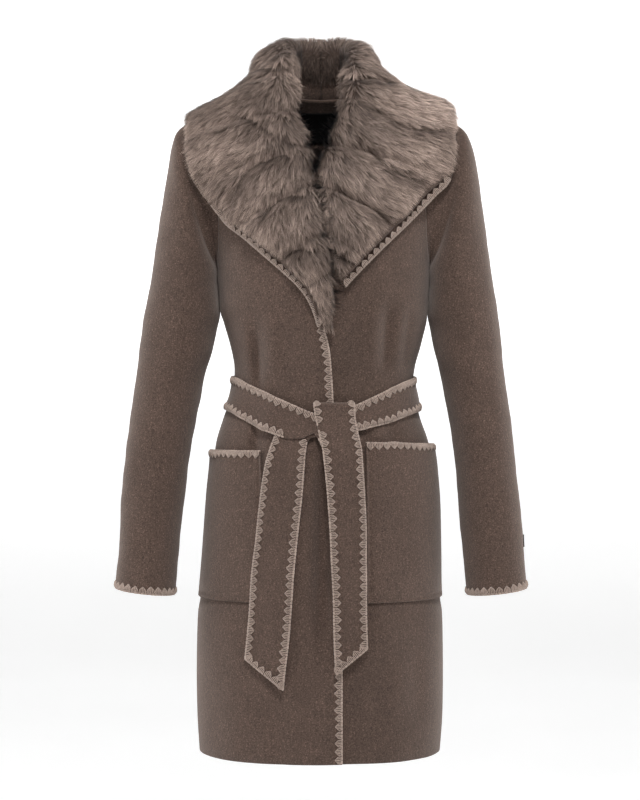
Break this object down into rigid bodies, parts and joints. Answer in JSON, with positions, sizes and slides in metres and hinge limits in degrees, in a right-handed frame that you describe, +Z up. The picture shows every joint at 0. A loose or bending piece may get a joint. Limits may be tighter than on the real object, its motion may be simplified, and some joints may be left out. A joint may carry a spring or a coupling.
{
  "type": "belted coat",
  "caption": "Thigh-length wool wrap coat with a wide fur shawl collar, patch pockets, yarn-edged seams and a self belt tied in a half knot.",
  "frame": {"origin": "midway between the neck ends of the shoulder seams, where the coat is held on its wearer's shoulders", "axes": "+X to the coat's left side, the front faces -Y, +Z up"},
  "size_m": [0.5456, 0.2728, 0.9695],
  "materials": {
    "wool": "matt brushed double-faced wool",
    "wool_front": "matt brushed double-faced wool",
    "wool_left": "matt brushed double-faced wool",
    "wool_right_sleeve": "matt brushed double-faced wool",
    "wool_left_sleeve": "matt brushed double-faced wool",
    "wool_right_collar": "matt brushed double-faced wool",
    "wool_left_collar": "matt brushed double-faced wool",
    "fur_right": "soft short fur, lighter at the tips",
    "fur_left": "soft short fur, lighter at the tips",
    "wool_right_pocket": "matt brushed double-faced wool",
    "wool_left_pocket": "matt brushed double-faced wool",
    "wool_belt": "matt brushed double-faced wool",
    "label_black": "matt woven band, bare",
    "tab_black": "matt, plain"
  },
  "bodies": {
    "root": {"back": "wool", "right_front": "wool_front", "left_front": "wool_left", "right_sleeve": "wool_right_sleeve", "left_sleeve": "wool_left_sleeve", "right_collar": "wool_right_collar", "left_collar": "wool_left_collar", "right_fur_collar": "fur_right", "left_fur_collar": "fur_left", "right_pocket": "wool_right_pocket", "left_pocket": "wool_left_pocket", "belt": "wool_belt", "neck_label": "label_black", "sleeve_tab": "tab_black"}
  },
  "joints": []
}
